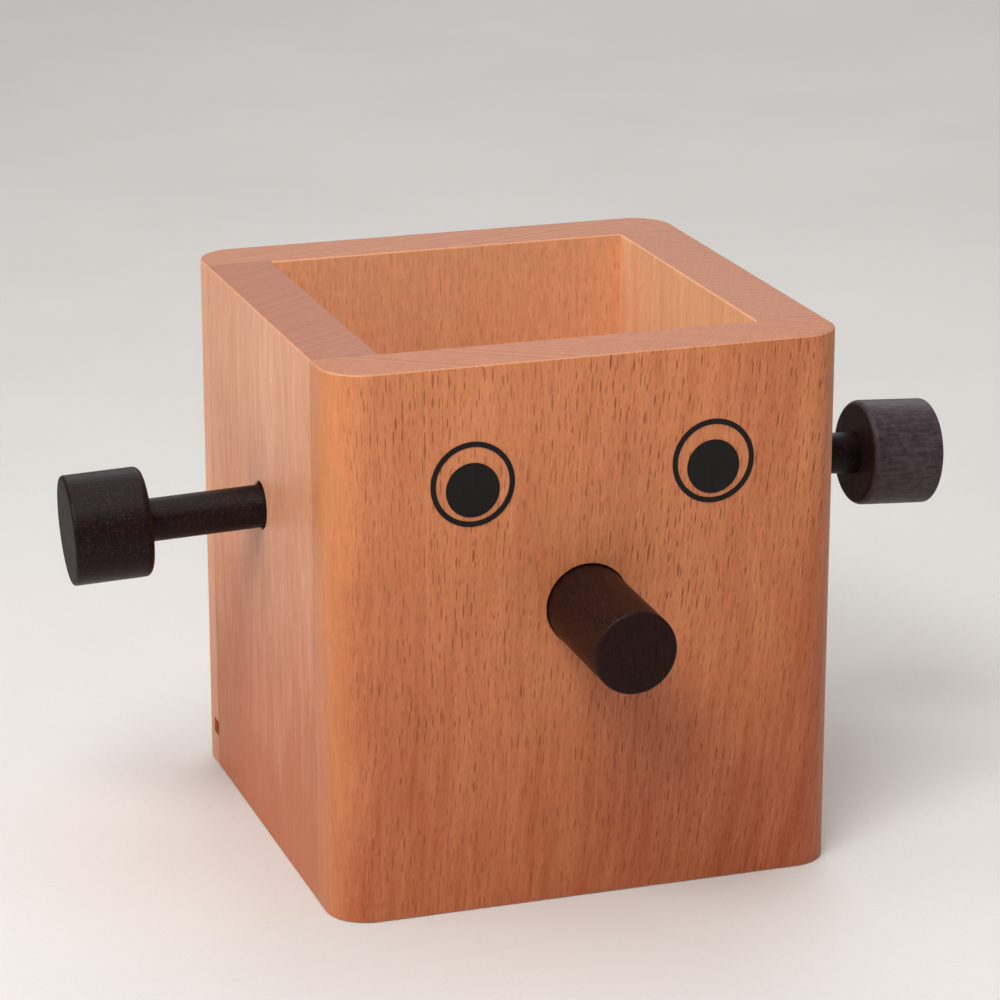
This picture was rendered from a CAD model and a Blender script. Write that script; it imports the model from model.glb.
"""Looks for the eyeglasses display stand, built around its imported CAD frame.

Everything is in metres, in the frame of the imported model. Materials work in
millimetres measured from the middle of the underside of the box, so that grain,
flecks and joints have their real size.
"""

import math

import bpy
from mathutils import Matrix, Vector


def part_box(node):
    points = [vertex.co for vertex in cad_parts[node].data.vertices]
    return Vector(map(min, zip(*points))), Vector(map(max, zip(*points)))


MM = 0.001

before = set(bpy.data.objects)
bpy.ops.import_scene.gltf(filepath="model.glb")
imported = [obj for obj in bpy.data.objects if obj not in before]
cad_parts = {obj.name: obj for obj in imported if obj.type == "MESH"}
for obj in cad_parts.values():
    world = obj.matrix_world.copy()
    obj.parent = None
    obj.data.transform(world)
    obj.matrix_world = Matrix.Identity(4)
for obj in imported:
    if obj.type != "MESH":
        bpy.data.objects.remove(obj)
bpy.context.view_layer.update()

front_low, front_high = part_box("front_board")
back_low, back_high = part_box("back_board")

# The box's own middle, on the table, and its half sizes
BOX_BASE = Vector((0, (front_low.y + back_high.y) / 2, front_low.z))
HALF_WIDTH = (front_high.x - front_low.x) / 2 / MM
HALF_DEPTH = (back_high.y - front_low.y) / 2 / MM
BOX_HEIGHT = (front_high.z - front_low.z) / MM
BOARD = (front_high.y - front_low.y) / MM
INNER_WIDTH = HALF_WIDTH - BOARD
INNER_DEPTH = HALF_DEPTH - BOARD

# The middles of the ear holes above the table, and their radius at the wall
LEFT_HOLE_HEIGHT = 67.5
RIGHT_HOLE_HEIGHT = 68.0
EAR_HOLE_RADIUS = 4.8

# Where the lights point, the camera's place and what it looks at, all from the middle
# of the box's underside: metres for the lights, millimetres for the camera
LIGHT_AIM = (0, 0, 0.06)
CAMERA_PLACE = (-227.6, -673.5, 287.1)
CAMERA_AIM = (-18.2, -50.0, 80.2)


def srgb(red, green, blue):
    """A display colour from 0 to 255 as the linear colour that shaders take."""
    def linear(value):
        share = value / 255
        if share <= 0.04045:
            return share / 12.92
        return ((share + 0.055) / 1.055) ** 2.4
    return (linear(red), linear(green), linear(blue), 1)


class Nodes:
    """One material's node tree, with short ways to add nodes to it."""

    def __init__(self, name):
        self.material = bpy.data.materials.new(name)
        self.material.use_nodes = True
        self.tree = self.material.node_tree
        self.shader = self.tree.nodes["Principled BSDF"]

    def put(self, socket, value):
        """Links an output to the socket, or sets the socket to a constant."""
        if isinstance(value, bpy.types.NodeSocket):
            self.tree.links.new(value, socket)
        else:
            socket.default_value = value

    def add(self, kind, inputs=None, **settings):
        node = self.tree.nodes.new(kind)
        for name, value in settings.items():
            setattr(node, name, value)
        for name, value in (inputs or {}).items():
            self.put(node.inputs[name], value)
        return node

    def math(self, operation, *values):
        node = self.add("ShaderNodeMath", operation=operation)
        for socket, value in zip(node.inputs, values):
            self.put(socket, value)
        return node.outputs[0]

    def sum(self, *values):
        total = values[0]
        for value in values[1:]:
            total = self.math("ADD", total, value)
        return total

    def times(self, *values):
        product = values[0]
        for value in values[1:]:
            product = self.math("MULTIPLY", product, value)
        return product

    def swing(self, noise, amount):
        """Noise around its middle, times an amount."""
        return self.times(self.math("SUBTRACT", noise, 0.5), amount)

    def limit(self, value):
        """Keeps a value from 0 to 1."""
        return self.math("MINIMUM", self.math("MAXIMUM", value, 0.0), 1.0)

    def size_of(self, value):
        """The value without its sign."""
        return self.math("ABSOLUTE", value)

    def far(self, first, second):
        """The length of a vector with two parts."""
        return self.math("SQRT", self.sum(
            self.math("POWER", first, 2.0),
            self.math("POWER", second, 2.0),
        ))

    def vector(self, x=0.0, y=0.0, z=0.0):
        return self.add("ShaderNodeCombineXYZ", {"X": x, "Y": y, "Z": z}).outputs[0]

    def parts(self, vector):
        node = self.add("ShaderNodeSeparateXYZ", {"Vector": vector})
        return node.outputs["X"], node.outputs["Y"], node.outputs["Z"]

    def noise(self, vector, scale=1.0, detail=2.0, roughness=0.5, distortion=0.0):
        """Noise from 0 to 1, with 0.5 in its middle."""
        inputs = {
            "Vector": vector,
            "Scale": scale,
            "Detail": detail,
            "Roughness": roughness,
            "Distortion": distortion,
        }
        return self.add("ShaderNodeTexNoise", inputs).outputs["Fac"]

    def step(self, value, low, high, out_low=0.0, out_high=1.0):
        """Rises smoothly from out_low to out_high while value goes from low to high."""
        inputs = {
            "Value": value,
            "From Min": low,
            "From Max": high,
            "To Min": out_low,
            "To Max": out_high,
        }
        node = self.add("ShaderNodeMapRange", inputs, interpolation_type="SMOOTHSTEP")
        return node.outputs["Result"]

    def blend(self, amount, first, second, how="MIX"):
        """Blends two colours."""
        node = self.add("ShaderNodeMix", data_type="RGBA", blend_type=how)
        self.put(node.inputs[0], amount)
        self.put(node.inputs[6], first)
        self.put(node.inputs[7], second)
        return node.outputs[2]

    def shade(self, colour, factor):
        """Multiplies a colour by a number."""
        node = self.add("ShaderNodeVectorMath", operation="SCALE")
        self.put(node.inputs[0], colour)
        self.put(node.inputs["Scale"], factor)
        return node.outputs[0]

    def place(self):
        """The point in millimetres from the middle of the box's underside."""
        place = self.add("ShaderNodeTexCoord").outputs["Object"]
        node = self.add("ShaderNodeVectorMath", operation="MULTIPLY_ADD")
        self.put(node.inputs[0], place)
        node.inputs[1].default_value = (1 / MM, 1 / MM, 1 / MM)
        node.inputs[2].default_value = tuple(-BOX_BASE / MM)
        return node.outputs[0]

    def facing(self):
        """How much the surface faces along X, Y and Z, each from 0 to 1."""
        normal = self.add("ShaderNodeTexCoord").outputs["Normal"]
        return [self.size_of(share) for share in self.parts(normal)]

    def bump(self, height, depth, strength=1.0):
        """Raises the surface by height times depth, in millimetres."""
        inputs = {"Height": height, "Distance": depth * MM, "Strength": strength}
        return self.add("ShaderNodeBump", inputs).outputs["Normal"]


def flecks(n, across, along, cell, size, seed):
    """Short lens-shaped ray flecks, one in each cell of a loose grid, from 0 to 1.

    cell is the spacing and size the half width and half length, in millimetres,
    across and along the grain.
    """
    grid = n.vector(
        n.math("ADD", n.math("DIVIDE", across, cell[0]), seed),
        n.math("DIVIDE", along, cell[1]),
    )
    spots = n.add(
        "ShaderNodeTexVoronoi",
        {"Vector": grid, "Scale": 1.0, "Randomness": 0.8},
        voronoi_dimensions="2D",
        feature="F1",
    )
    offset = n.add("ShaderNodeVectorMath", operation="SUBTRACT")
    n.put(offset.inputs[0], grid)
    n.put(offset.inputs[1], spots.outputs["Position"])
    off_across, off_along, _ = n.parts(offset.outputs[0])
    chance_a, chance_b, chance_c = n.parts(spots.outputs["Color"])
    wide = n.math("MULTIPLY_ADD", chance_a, 0.8, 0.6)
    tall = n.math("MULTIPLY_ADD", chance_b, 0.9, 0.45)
    share_across = n.math("DIVIDE", n.times(off_across, cell[0] / size[0]), wide)
    share_along = n.math("DIVIDE", n.times(off_along, cell[1] / size[1]), tall)
    lens = n.math(
        "SUBTRACT",
        n.math("SUBTRACT", 1.0, n.math("POWER", share_along, 2.0)),
        n.size_of(share_across),
    )
    strength = n.math("POWER", chance_c, 0.6)
    return n.times(n.step(lens, 0.0, 0.5), strength)


def end_grain(n, point, rings, along_rings, light, dark, seed):
    """The colour of sawn end grain, on the rim and the underside."""
    ring_lines = n.noise(n.vector(n.times(rings, 0.8), 0.0, seed + 20),
                         detail=3.0, roughness=0.7)
    ray_lines = n.noise(n.vector(n.times(along_rings, 3.2), n.times(rings, 0.12),
                                 seed + 31), detail=2.0)
    spots = n.noise(point, scale=2.2, detail=2.0)
    tone = n.sum(
        n.swing(ring_lines, 1.7),
        n.swing(ray_lines, 0.6),
        n.swing(spots, 0.5),
        0.5,
    )
    return n.blend(n.limit(tone), srgb(*light), srgb(*dark))


def ray_flecks(n, point, along_rings, strength, seed):
    """Large dark ray flecks, and many small faint ones, stronger in some patches."""
    x, y, z = n.parts(point)
    large = flecks(n, along_rings, z, (1.15, 3.4), (0.14, 1.8), seed + 11.3)
    small = flecks(n, along_rings, z, (0.8, 2.4), (0.10, 1.1), seed + 47.7)
    both = n.math("MAXIMUM", large, n.times(small, 0.55))
    spread = n.noise(n.vector(n.times(x, 0.05), n.times(y, 0.05), n.times(z, 0.03)))
    return n.times(both, n.step(spread, 0.3, 0.65, 0.6, 1.0), strength)


def inside_share(n, x, y):
    """1 at the faces towards the compartment, and 0 from 6 mm below them."""
    out_x = n.math("SUBTRACT", n.size_of(x), INNER_WIDTH)
    out_y = n.math("SUBTRACT", n.size_of(y), INNER_DEPTH)
    return n.step(n.math("MAXIMUM", out_x, out_y), 1.0, 6.0, 1.0, 0.0)


def with_joint_line(n, point, colour):
    """Adds the dull line of glue where a side board meets the front or the back."""
    x, y, _ = n.parts(point)
    from_joint = n.size_of(n.math("SUBTRACT", n.size_of(y), INNER_DEPTH))
    outside = n.math("GREATER_THAN", n.size_of(x), INNER_WIDTH + 0.02)
    line = n.times(n.step(from_joint, 0.08, 0.42, 1.0, 0.0), outside)
    uneven = n.step(n.noise(point, scale=0.35, detail=2.0), 0.35, 0.65, 0.2, 0.5)
    return n.blend(n.times(line, uneven), colour, srgb(112, 84, 58))


def with_hole_edge(n, point, colour, hole_height):
    """Adds fresh pale wood on the eased edge of an ear hole."""
    x, y, z = n.parts(point)
    from_hole = n.far(y, n.math("SUBTRACT", z, hole_height))
    near_hole = n.step(from_hole, EAR_HOLE_RADIUS, EAR_HOLE_RADIUS + 0.3, 1.0, 0.0)
    at_wall = n.math("GREATER_THAN", n.size_of(x), HALF_WIDTH - 0.4)
    return n.blend(n.times(near_hole, at_wall, 0.5), colour, srgb(226, 178, 140))


def beech(name, ring_angle, fleck_strength, light, dark, end_light, end_dark,
          side_light=None, side_dark=None, inside_light=None, inside_dark=None,
          blush=0.0, broken=0.028, right_tone=0.0, lower_tone=0.6,
          lean=(0.0, 0.0, 0.0), seed=0.0, hole_height=None):
    """Steamed beech of one board, as solid wood with its grain along Z.

    ring_angle is the direction of the growth rings seen from above, in degrees
    from X. lean says how the grain leaves the upright: its slope in the middle of
    the base, and how that slope grows with X and with height. side_light and
    side_dark colour a full-width board's edges, in the side walls, and inside_light
    and inside_dark its face towards the compartment. blush is how pink the board is
    in patches, and broken is how soon its stripes end along the grain. lower_tone is
    the tone at the foot, and right_tone is how much darker the board gets to the
    right, per millimetre.
    """
    n = Nodes(name)
    point = n.place()
    x, y, z = n.parts(point)
    angle = math.radians(ring_angle)

    # Slow waves carry the whole figure to one side and back
    waves = n.noise(n.vector(n.times(x, 0.02), n.times(y, 0.02),
                             n.math("MULTIPLY_ADD", z, 0.012, seed)), detail=1.0)
    sway = n.swing(waves, 7.0)
    slope = n.sum(n.times(x, lean[1]), n.times(z, lean[2] / 2), lean[0])
    drift = n.math("MULTIPLY_ADD", slope, z, sway)
    upright_x = n.math("SUBTRACT", x, drift)

    # Place across the growth rings, and along them
    rings = n.sum(n.times(upright_x, -math.sin(angle)), n.times(y, math.cos(angle)))
    along_rings = n.sum(n.times(upright_x, math.cos(angle)), n.times(y, math.sin(angle)))

    # Growth-ring bands, stripes, fine grain and pores
    bands = n.noise(n.vector(n.times(rings, 0.08), n.times(z, 0.006), seed), detail=2.0)
    stripes = n.noise(n.vector(n.times(rings, 0.55), n.times(z, broken), seed + 3),
                      detail=3.0, roughness=0.6)
    grain = n.noise(n.vector(n.times(rings, 2.6), n.times(z, 0.09),
                             n.times(along_rings, 0.9)), detail=3.0, roughness=0.65)
    pores = n.noise(n.vector(n.times(rings, 7.0), n.times(z, 0.7),
                             n.times(along_rings, 7.0)), detail=1.0)
    tone = n.limit(n.sum(
        n.swing(bands, 0.5),
        n.swing(stripes, 0.6),
        n.swing(grain, 0.45),
        n.step(z, 0.0, BOX_HEIGHT, lower_tone, 0.35),
        n.times(x, right_tone),
    ))
    wood = n.blend(tone, srgb(*light), srgb(*dark))
    if inside_light:
        inner = n.blend(tone, srgb(*inside_light), srgb(*inside_dark))
        wood = n.blend(inside_share(n, x, y), wood, inner)
    if blush:
        pink = n.noise(n.vector(n.times(rings, 0.30), n.times(z, 0.03), seed + 7),
                       detail=2.0)
        upper = n.step(z, 20.0, 75.0, 0.1, 1.0)
        wood = n.blend(n.times(n.step(pink, 0.42, 0.62), upper, blush), wood,
                       srgb(216, 146, 122))
    facing_x, _, facing_z = n.facing()
    side_share = 0.0
    if side_light:
        side_share = n.step(facing_x, 0.35, 0.9)
        wood = n.blend(side_share, wood, n.blend(tone, srgb(*side_light), srgb(*side_dark)))
    wood = n.shade(wood, n.step(pores, 0.3, 0.7, 1.03, 0.97))

    # Fine pale streaks, and dark flecks that fade out towards the side walls
    pale = n.noise(n.vector(n.times(rings, 3.4), n.times(z, 0.30), seed + 5), detail=2.0)
    wood = n.shade(wood, n.step(pale, 0.40, 0.72, 0.98, 1.07))
    fleck = ray_flecks(n, point, along_rings, fleck_strength, seed)
    fleck = n.times(fleck, n.math("SUBTRACT", 1.0, side_share))
    wood = n.blend(fleck, wood, srgb(134, 60, 30))

    # End grain, and a pale line along the eased edge of the rim
    end_share = n.step(facing_z, 0.55, 0.75)
    colour = n.blend(end_share, wood,
                     end_grain(n, point, rings, along_rings, end_light, end_dark, seed))
    edge = n.times(n.step(facing_z, 0.15, 0.45), n.step(facing_z, 0.8, 0.97, 1.0, 0.0))
    colour = n.blend(n.times(edge, 0.35), colour, srgb(232, 180, 148))

    colour = with_joint_line(n, point, colour)
    if hole_height:
        colour = with_hole_edge(n, point, colour, hole_height)

    n.put(n.shader.inputs["Base Color"], colour)
    gloss = n.sum(0.42, n.times(grain, 0.10), n.times(fleck, 0.12),
                  n.times(end_share, 0.08))
    n.put(n.shader.inputs["Roughness"], gloss)
    height = n.sum(n.times(grain, 0.6), n.times(pores, 0.35), n.times(fleck, -0.6))
    n.put(n.shader.inputs["Normal"], n.bump(height, 0.06, 0.6))
    n.shader.inputs["Specular IOR Level"].default_value = 0.35
    n.shader.inputs["Coat Weight"].default_value = 0.05
    n.shader.inputs["Coat Roughness"].default_value = 0.35
    return n.material


def torn_pits(n, point, end, middle):
    """Adds dark torn pits to an end face, in an arc around its middle in Y and Z."""
    _, y, z = n.parts(point)
    off_y = n.math("SUBTRACT", y, middle[0])
    off_z = n.math("SUBTRACT", z, middle[1])
    out = n.far(off_y, off_z)
    arc = n.times(n.step(out, 2.0, 3.5), n.step(out, 6.5, 8.0, 1.0, 0.0),
                  n.step(off_y, -1.0, 3.0, 1.0, 0.0))
    pits = n.step(n.noise(point, scale=0.75, detail=3.0, roughness=0.6), 0.50, 0.60)
    return n.blend(n.times(arc, pits, 0.75), end, srgb(26, 18, 17))


def dark_wood(name, axis, base, worn, end_colour, seed, torn_at=None):
    """Turned wood, stained nearly black. axis is where its grain runs, 0 or 1.

    torn_at is the middle, in Y and Z, of an end face with torn pits.
    """
    n = Nodes(name)
    point = n.place()
    x, y, z = n.parts(point)
    along, across = (x, y) if axis == 0 else (y, x)
    stretched = n.vector(n.times(along, 0.18), n.times(across, 1.7), n.times(z, 1.7))
    fibres = n.noise(n.add("ShaderNodeVectorMath", {0: stretched, 1: (seed, seed, 0)},
                           operation="ADD").outputs[0], detail=3.0, roughness=0.6)
    mottle = n.noise(point, scale=0.7, detail=3.0, roughness=0.65)
    specks = n.noise(point, scale=2.6, detail=1.0)
    speck = n.step(specks, 0.58, 0.72)
    cloud = n.step(n.sum(n.times(fibres, 0.5), n.times(mottle, 0.5)), 0.38, 0.64)
    colour = n.blend(cloud, srgb(*base), srgb(*worn))
    colour = n.blend(n.times(speck, 0.22), colour, srgb(104, 74, 68))
    end_share = n.step(n.facing()[axis], 0.75, 0.95)
    pores = n.noise(point, scale=3.4, detail=2.0)
    sawn = n.noise(n.vector(n.times(across, 1.9), n.times(z, 0.22), seed), detail=3.0,
                   roughness=0.65)
    end_tone = n.sum(n.times(pores, 0.45), n.times(sawn, 0.55))
    end = n.shade(srgb(*end_colour)[:3], n.step(end_tone, 0.36, 0.64, 0.6, 1.5))
    if torn_at:
        end = torn_pits(n, point, end, torn_at)
    colour = n.blend(end_share, colour, end)
    n.put(n.shader.inputs["Base Color"], colour)
    n.shader.inputs["Specular IOR Level"].default_value = 0.15
    gloss = n.sum(0.32, n.times(mottle, 0.18), n.times(speck, 0.1),
                  n.times(end_share, 0.22))
    n.put(n.shader.inputs["Roughness"], gloss)
    height = n.sum(n.times(fibres, 0.7), n.times(pores, 0.3), n.times(speck, 0.2))
    n.put(n.shader.inputs["Normal"], n.bump(height, 0.10, 0.7))
    return n.material


def printed_ink():
    """Matte black ink, which lets a little of the grain below show in its surface."""
    n = Nodes("printed_ink")
    point = n.place()
    x, y, z = n.parts(point)
    grain = n.noise(n.vector(n.times(x, 1.8), n.times(y, 1.8), n.times(z, 0.12)),
                    detail=3.0, roughness=0.6)
    dust = n.noise(point, scale=4.0, detail=2.0)
    tone = n.sum(n.times(grain, 0.6), n.times(dust, 0.4))
    colour = n.blend(n.step(tone, 0.35, 0.65), srgb(15, 11, 13), srgb(25, 19, 20))
    n.put(n.shader.inputs["Base Color"], colour)
    n.put(n.shader.inputs["Roughness"], n.step(dust, 0.3, 0.7, 0.5, 0.62))
    n.shader.inputs["Specular IOR Level"].default_value = 0.25
    n.put(n.shader.inputs["Normal"], n.bump(tone, 0.03, 0.5))
    return n.material


def base_wood():
    """Pale sheet wood of the base panel, with its grain along X."""
    n = Nodes("base_sheet_wood")
    point = n.place()
    x, y, z = n.parts(point)
    grain = n.noise(n.vector(n.times(x, 0.05), n.times(y, 1.4), z),
                    detail=3.0, roughness=0.6)
    bands = n.noise(n.vector(n.times(x, 0.01), n.times(y, 0.12), 7.0), detail=2.0,
                    distortion=0.6)
    fine = n.noise(n.vector(n.times(x, 0.5), n.times(y, 6.0), z), detail=1.0)
    tone = n.sum(n.times(bands, 0.6), n.times(grain, 0.4))
    colour = n.blend(n.step(tone, 0.3, 0.7), srgb(226, 184, 142), srgb(196, 142, 98))
    colour = n.shade(colour, n.step(fine, 0.3, 0.7, 1.05, 0.94))
    n.put(n.shader.inputs["Base Color"], colour)
    n.put(n.shader.inputs["Roughness"], n.step(grain, 0.3, 0.7, 0.55, 0.68))
    n.put(n.shader.inputs["Normal"], n.bump(n.sum(grain, fine), 0.06, 0.5))
    return n.material


def dress(node, material):
    """Gives a CAD node its material."""
    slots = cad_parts[node].data.materials
    slots.clear()
    slots.append(material)


def dress_boards():
    dress("front_board", beech(
        "beech_front", ring_angle=-35, fleck_strength=0.9,
        light=(230, 150, 100), dark=(162, 74, 38),
        end_light=(192, 128, 90), end_dark=(156, 88, 58),
        side_light=(216, 142, 90), side_dark=(180, 98, 54),
        right_tone=0.0022, lower_tone=0.80, lean=(0.12, 0.0008, -0.001), seed=2.0))
    dress("back_board", beech(
        "beech_back", ring_angle=18, fleck_strength=0.4,
        light=(236, 160, 112), dark=(180, 94, 56),
        end_light=(193, 130, 95), end_dark=(156, 92, 64),
        inside_light=(246, 184, 138), inside_dark=(212, 138, 98),
        side_light=(242, 186, 152), side_dark=(196, 112, 66),
        lower_tone=0.75, lean=(0.02, 0.0004, 0.0), seed=9.0))
    dress("left_board", beech(
        "beech_left", ring_angle=33, fleck_strength=0.12,
        light=(243, 188, 150), dark=(188, 100, 52),
        end_light=(182, 116, 84), end_dark=(138, 78, 54),
        blush=0.45, broken=0.07, lower_tone=1.05, seed=17.0,
        hole_height=LEFT_HOLE_HEIGHT))
    dress("right_board", beech(
        "beech_right", ring_angle=-28, fleck_strength=0.2,
        light=(243, 184, 142), dark=(190, 104, 58),
        end_light=(190, 126, 92), end_dark=(152, 90, 62),
        inside_light=(251, 202, 152), inside_dark=(230, 166, 118),
        blush=0.3, broken=0.06, lower_tone=0.85, seed=26.0, hole_height=RIGHT_HOLE_HEIGHT))
    dress("base_panel", base_wood())


def end_middle(node):
    """The middle of an ear head in Y and Z, in the millimetres of the materials."""
    low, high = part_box(node)
    middle = ((low + high) / 2 - BOX_BASE) / MM
    return middle.y, middle.z


def dress_pegs():
    nose = dark_wood("dark_nose", 1, (20, 8, 6), (37, 17, 14), (34, 12, 9), 5.0)
    stems = dark_wood("dark_stems", 0, (17, 6, 5), (28, 13, 12), (42, 27, 23), 8.0)
    left_head = dark_wood("dark_left_head", 0, (17, 5, 5), (27, 11, 11), (36, 24, 21),
                          13.0, torn_at=end_middle("left_ear_head"))
    right_head = dark_wood("dark_right_head", 0, (56, 46, 51), (80, 69, 76), (36, 24, 21),
                           21.0)
    dress("nose_peg", nose)
    dress("left_ear_stem", stems)
    dress("right_ear_stem", stems)
    dress("left_ear_head", left_head)
    dress("right_ear_head", right_head)


def dress_eyes():
    ink = printed_ink()
    for side in ("left", "right"):
        dress(side + "_eye_ring", ink)
        dress(side + "_eye_pupil", ink)


def make_floor():
    """A plain pale floor that reaches past every view."""
    reach = 4.0
    mesh = bpy.data.meshes.new("floor")
    corners = [
        (-reach, -reach, 0),
        (reach, -reach, 0),
        (reach, reach, 0),
        (-reach, reach, 0),
    ]
    mesh.from_pydata(corners, [], [(0, 1, 2, 3)])
    floor = bpy.data.objects.new("floor", mesh)
    floor.location.z = front_low.z
    bpy.context.scene.collection.objects.link(floor)
    n = Nodes("pale_floor")
    point = n.place()
    cloud = n.noise(point, scale=0.01, detail=2.0)
    dust = n.noise(point, scale=1.5, detail=2.0)
    tone = n.sum(n.times(cloud, 0.6), n.times(dust, 0.4))
    colour = n.blend(n.step(tone, 0.3, 0.7), srgb(226, 223, 220), srgb(220, 217, 214))
    n.put(n.shader.inputs["Base Color"], colour)
    n.put(n.shader.inputs["Roughness"], n.step(dust, 0.3, 0.7, 0.55, 0.65))
    mesh.materials.append(n.material)


def make_world():
    """Even, slightly warm light from all around."""
    world = bpy.data.worlds.new("studio")
    world.use_nodes = True
    background = world.node_tree.nodes["Background"]
    background.inputs["Color"].default_value = (1.0, 0.98, 0.96, 1)
    background.inputs["Strength"].default_value = 0.25
    bpy.context.scene.world = world


def soft_light(name, place, size, power, colour=(1, 1, 1)):
    """A soft square light that shines at the middle of the stand. place is in metres."""
    data = bpy.data.lights.new(name, "AREA")
    data.shape = "SQUARE"
    data.size = size
    data.energy = power
    data.color = colour
    light = bpy.data.objects.new(name, data)
    bpy.context.scene.collection.objects.link(light)
    target = BOX_BASE + Vector(LIGHT_AIM)
    light.location = BOX_BASE + Vector(place)
    light.rotation_mode = "QUATERNION"
    light.rotation_quaternion = (target - light.location).to_track_quat("-Z", "Y")
    light.visible_camera = False


def make_lights():
    soft_light("key", (-0.35, -0.42, 0.72), 0.42, 5.3, (1.0, 0.98, 0.95))
    soft_light("top", (0.05, 0.05, 0.9), 0.6, 2.1)
    soft_light("side", (-0.85, 0.05, 0.42), 0.6, 1.8, (0.97, 0.98, 1.0))
    soft_light("rear", (0.5, 1.1, 0.9), 1.0, 5.0)


def make_camera():
    """The camera stands left of the face and looks down on the stand."""
    data = bpy.data.cameras.new("camera")
    data.lens = 136.5
    data.sensor_width = 36
    data.clip_start = 0.01
    data.clip_end = 50
    camera = bpy.data.objects.new("camera", data)
    bpy.context.scene.collection.objects.link(camera)
    target = BOX_BASE + Vector(CAMERA_AIM) * MM
    camera.location = BOX_BASE + Vector(CAMERA_PLACE) * MM
    camera.rotation_mode = "QUATERNION"
    camera.rotation_quaternion = (target - camera.location).to_track_quat("-Z", "Y")
    bpy.context.scene.camera = camera


make_camera()
make_floor()
make_world()
make_lights()
dress_boards()
dress_pegs()
dress_eyes()
bpy.context.scene.view_settings.view_transform = "Standard"
